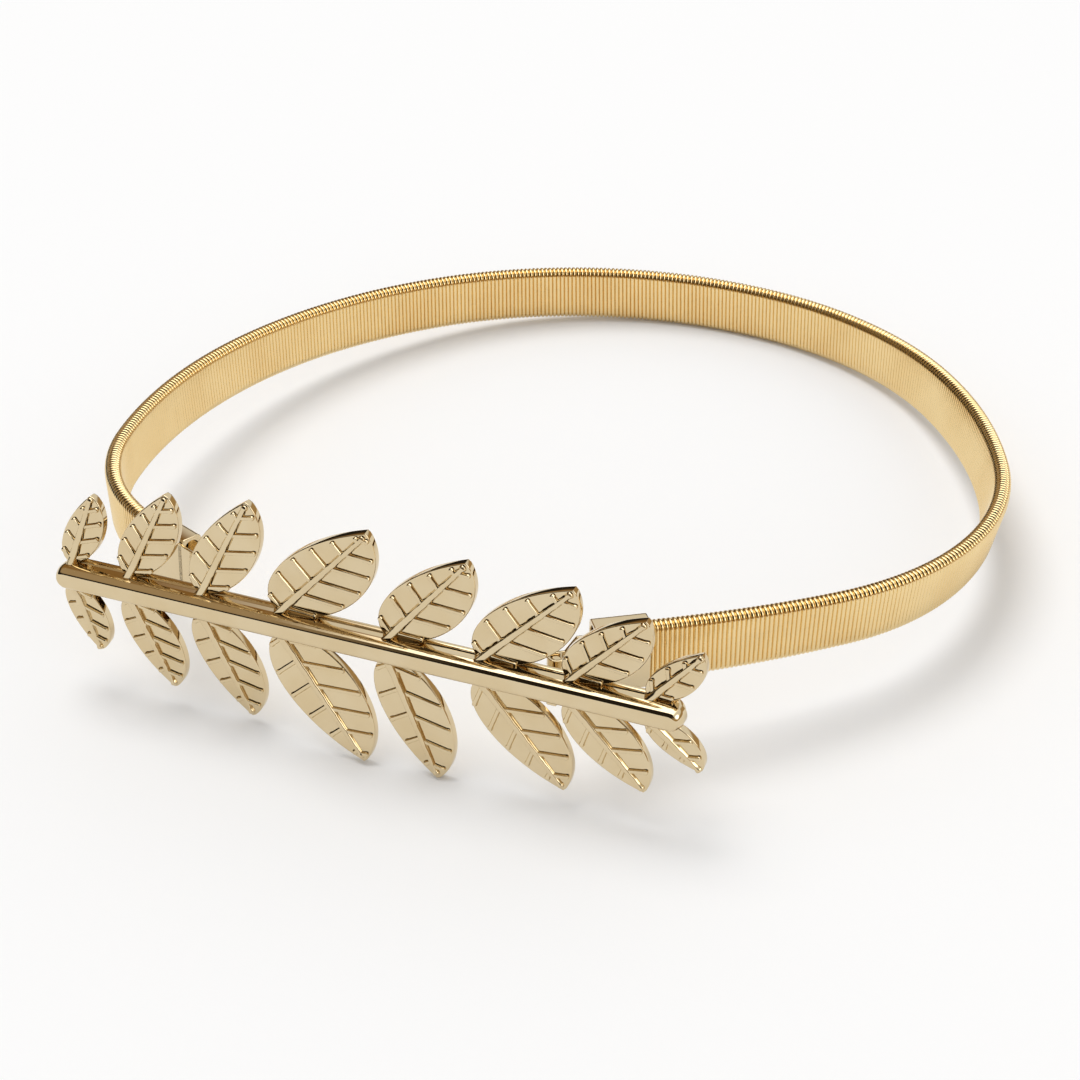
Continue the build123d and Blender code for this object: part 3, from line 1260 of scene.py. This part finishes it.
@dataclass(frozen=True)
class StudioCamera:
    """The photograph's viewpoint, found on the level loop, in millimetres and radians."""

    elevation: float = 0.526155810
    azimuth: float = 0.372702569
    roll: float = 0.0205189768
    focal_px: float = 2777.10697
    distance: float = 468.966367
    aside: tuple[float, float] = (12.1915928, 13.6178355)
    frame_px: float = 1080.0
    sensor: float = 36.0
    clip: Span = (0.01, 50.0)

    def build(self) -> bpy.types.Object:
        """Place the camera and make it the scene's own.

        Returns:
            The camera object.
        """
        e, a, r = self.elevation, self.azimuth, self.roll
        ahead = np.array([-math.sin(a) * math.cos(e), math.cos(a) * math.cos(e), -math.sin(e)])
        right = np.array([math.cos(a), math.sin(a), 0.0])
        up = np.cross(right, ahead)
        spot = -self.aside[0] * right - self.aside[1] * up - self.distance * ahead
        turn = REST.rotation()
        x_dir = turn @ (math.cos(r) * right + math.sin(r) * up)
        y_dir = turn @ (-math.sin(r) * right + math.cos(r) * up)
        z_dir = -(turn @ ahead)
        data = bpy.data.cameras.new("studio_camera")
        data.sensor_width = self.sensor
        data.lens = self.focal_px * self.sensor / self.frame_px
        data.clip_start, data.clip_end = self.clip
        camera = new_object("studio_camera", data)
        camera.matrix_world = posed((x_dir, y_dir, z_dir), REST.place(spot))
        bpy.context.scene.camera = camera
        return camera


@dataclass
class Studio:
    """Pale floor and backdrop, a broad soft lamp overhead to the left, and a room for the metal to show."""

    floor_tone: Colour = (0.95, 0.95, 0.95, 1.0)
    floor_fleck: Colour = (0.9405, 0.9405, 0.9405, 1.0)
    floor_half: float = 4.0
    paper: Colour = (0.95, 0.95, 0.95, 1.0)
    drum: tuple[Span, ...] = ((3.6, -0.02), (3.6, 2.5), (0.02, 3.4))
    drum_facets: int = 64
    lamp_power: float = 1.4
    lamp_tint: tuple[float, float, float] = (1.0, 0.99, 0.98)
    lamp_spread_deg: float = 38.0
    lamp_from: tuple[float, float, float] = (-0.30, 0.12, 0.95)
    soft_light: Colour = (0.62, 0.62, 0.62, 1.0)
    room: Colour = (0.022, 0.018, 0.014, 1.0)
    left_glow: Colour = (0.44, 0.34, 0.22, 1.0)
    left_back: Colour = (0.28, 0.16, 0.055, 1.0)
    right_wall: Colour = (0.46, 0.32, 0.16, 1.0)
    ceiling: Colour = (0.90, 0.90, 0.90, 1.0)
    skylight: Colour = (2.6, 2.6, 2.6, 1.0)
    window: Colour = (3.0, 3.0, 3.0, 1.0)
    window_from: tuple[float, float, float] = (0.89, 0.0, 0.45)
    # Where each part of the room starts and is full, by the direction of the view
    window_edge: Span = (0.955, 0.972)
    wall_right: Span = (0.1, 0.4)
    wall_top: Span = (0.3, 0.55)
    glow_left: Span = (0.3, 0.44)
    glow_up: Span = (0.3, 0.6)
    back_from: Span = (0.2, 0.4)
    ceiling_up: Span = (0.24, 0.38)
    ceiling_back: Span = (0.2, 0.4)
    ceiling_skew: float = 1.2
    strip_front: Span = (-0.03, 0.03)
    strip_back: Span = (-0.05, 0.05)
    strip_left: Span = (-0.42, -0.3)
    strip_right: Span = (0.4, 0.6)
    strip_tilt: Span = (0.12, 0.95)

    def floor(self) -> bpy.types.Object:
        """Lay the floor.

        Returns:
            The floor object.
        """
        mesh = bpy.data.meshes.new("studio_floor")
        d = self.floor_half
        mesh.from_pydata([(-d, -d, 0.0), (d, -d, 0.0), (d, d, 0.0), (-d, d, 0.0)], [], [(0, 1, 2, 3)])
        piece = new_object("studio_floor", mesh)
        made, kit = new_material("pale_floor")
        cloud = kit.noise(kit.node("ShaderNodeTexCoord").output("Object"), 3.0, 2.0)
        colour = kit.blend(cloud, self.floor_tone, self.floor_fleck)
        shader = kit.node(
            "ShaderNodeBsdfPrincipled",
            None,
            {"Base Color": colour, "Roughness": 0.8, "Specular IOR Level": 0.0},
        )
        kit.node("ShaderNodeOutputMaterial", None, {"Surface": shader})
        mesh.materials.append(made)
        return piece

    def backdrop(self) -> bpy.types.Object:
        """Stand a pale drum of paper round the set, which only the camera sees.

        Returns:
            The backdrop object.
        """
        around = np.linspace(0.0, 2 * math.pi, self.drum_facets + 1)[:-1]
        rows = [
            np.column_stack([r * np.cos(around), r * np.sin(around), np.full(len(around), z)])
            for r, z in self.drum
        ]
        mesh = bpy.data.meshes.new("paper_backdrop")
        mesh.from_pydata(np.concatenate(rows).tolist(), [], ring_faces(len(rows), self.drum_facets))
        piece = new_object("paper_backdrop", mesh)
        made, kit = new_material("white_paper")
        shader = kit.node("ShaderNodeEmission", None, {"Color": self.paper, "Strength": 1.0})
        kit.node("ShaderNodeOutputMaterial", None, {"Surface": shader})
        mesh.materials.append(made)
        piece.visible_diffuse = False
        piece.visible_glossy = False
        piece.visible_shadow = False
        return piece

    def lamp(self) -> bpy.types.Object:
        """Hang the soft key lamp.

        Returns:
            The lamp object.
        """
        data = bpy.data.lights.new("soft_key", "SUN")
        data.energy = self.lamp_power
        data.color = self.lamp_tint
        data.angle = math.radians(self.lamp_spread_deg)
        piece = new_object("soft_key", data)
        way = np.array(self.lamp_from) / np.linalg.norm(self.lamp_from)
        side = np.cross([0.0, 0.0, 1.0], way)
        side /= np.linalg.norm(side)
        piece.matrix_world = posed((side, np.cross(way, side), way))
        piece.visible_glossy = False
        return piece

    def light_room(self) -> None:
        """Light the room evenly; show the metal a pale ceiling, a skylight, a window and a dim front."""
        world = bpy.data.worlds.new("studio_room")
        world.use_nodes = True
        world.cycles.sampling_method = "NONE"
        bpy.context.scene.world = world
        kit = NodeKit(world.node_tree)
        way = kit.node("ShaderNodeTexCoord").output("Generated")
        split = kit.node("ShaderNodeSeparateXYZ", None, {0: way})
        x, y, z = split.output("X"), split.output("Y"), split.output("Z")

        facing = {0: way, 1: self.window_from}
        toward = kit.node("ShaderNodeVectorMath", {"operation": "DOT_PRODUCT"}, facing)
        wall = kit.ramp(x, *self.wall_right) * kit.ramp(z, *self.wall_top, 1.0, 0.0)
        colour = kit.blend(wall, self.room, self.right_wall)
        glow = kit.ramp(0.0 - x, *self.glow_left) * kit.ramp(z, *self.glow_up)
        colour = kit.blend(glow, colour, self.left_glow)
        behind = kit.ramp(y, *self.back_from) * kit.ramp(z, *self.back_from)
        colour = kit.blend(behind, colour, self.left_back)
        skewed = y + self.ceiling_skew * x
        overhead = kit.ramp(z, *self.ceiling_up) * kit.ramp(skewed, *self.ceiling_back)
        colour = kit.blend(overhead, colour, self.ceiling)
        near, far = self.strip_tilt
        strip = kit.ramp(y + near * z, *self.strip_front) * kit.ramp(far * z - y, *self.strip_back)
        strip = strip * kit.ramp(x, *self.strip_left) * kit.ramp(x, *self.strip_right, 1.0, 0.0)
        colour = kit.blend(strip, colour, self.skylight)
        colour = kit.blend(kit.ramp(toward, *self.window_edge), colour, self.window)
        colour = kit.blend(kit.node("ShaderNodeLightPath").output("Is Glossy Ray"), self.soft_light, colour)
        sky = kit.node("ShaderNodeBackground", None, {"Color": colour, "Strength": 1.0})
        kit.node("ShaderNodeOutputWorld", None, {"Surface": sky})

    def build(self) -> None:
        """Set up floor, backdrop, lamp, room and view."""
        self.floor()
        self.backdrop()
        self.lamp()
        self.light_room()
        bpy.context.scene.view_settings.view_transform = "Standard"


def main() -> None:
    """Load the solids and build every piece over them."""
    logging.basicConfig(level=logging.INFO, format="%(name)s: %(message)s")
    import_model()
    line = BandLine()
    ferrules = [Ferrule(line, Side.RIGHT), Ferrule(line, Side.LEFT)]
    sprig = LeafSprig([ferrule.eye() for ferrule in ferrules], ferrules[0].tongue_height)
    StudioCamera().build()
    Studio().build()
    for maker in (CoilBand(line), sprig, *ferrules):
        maker.dress(maker.build())


if __name__ == "__main__":
    main()
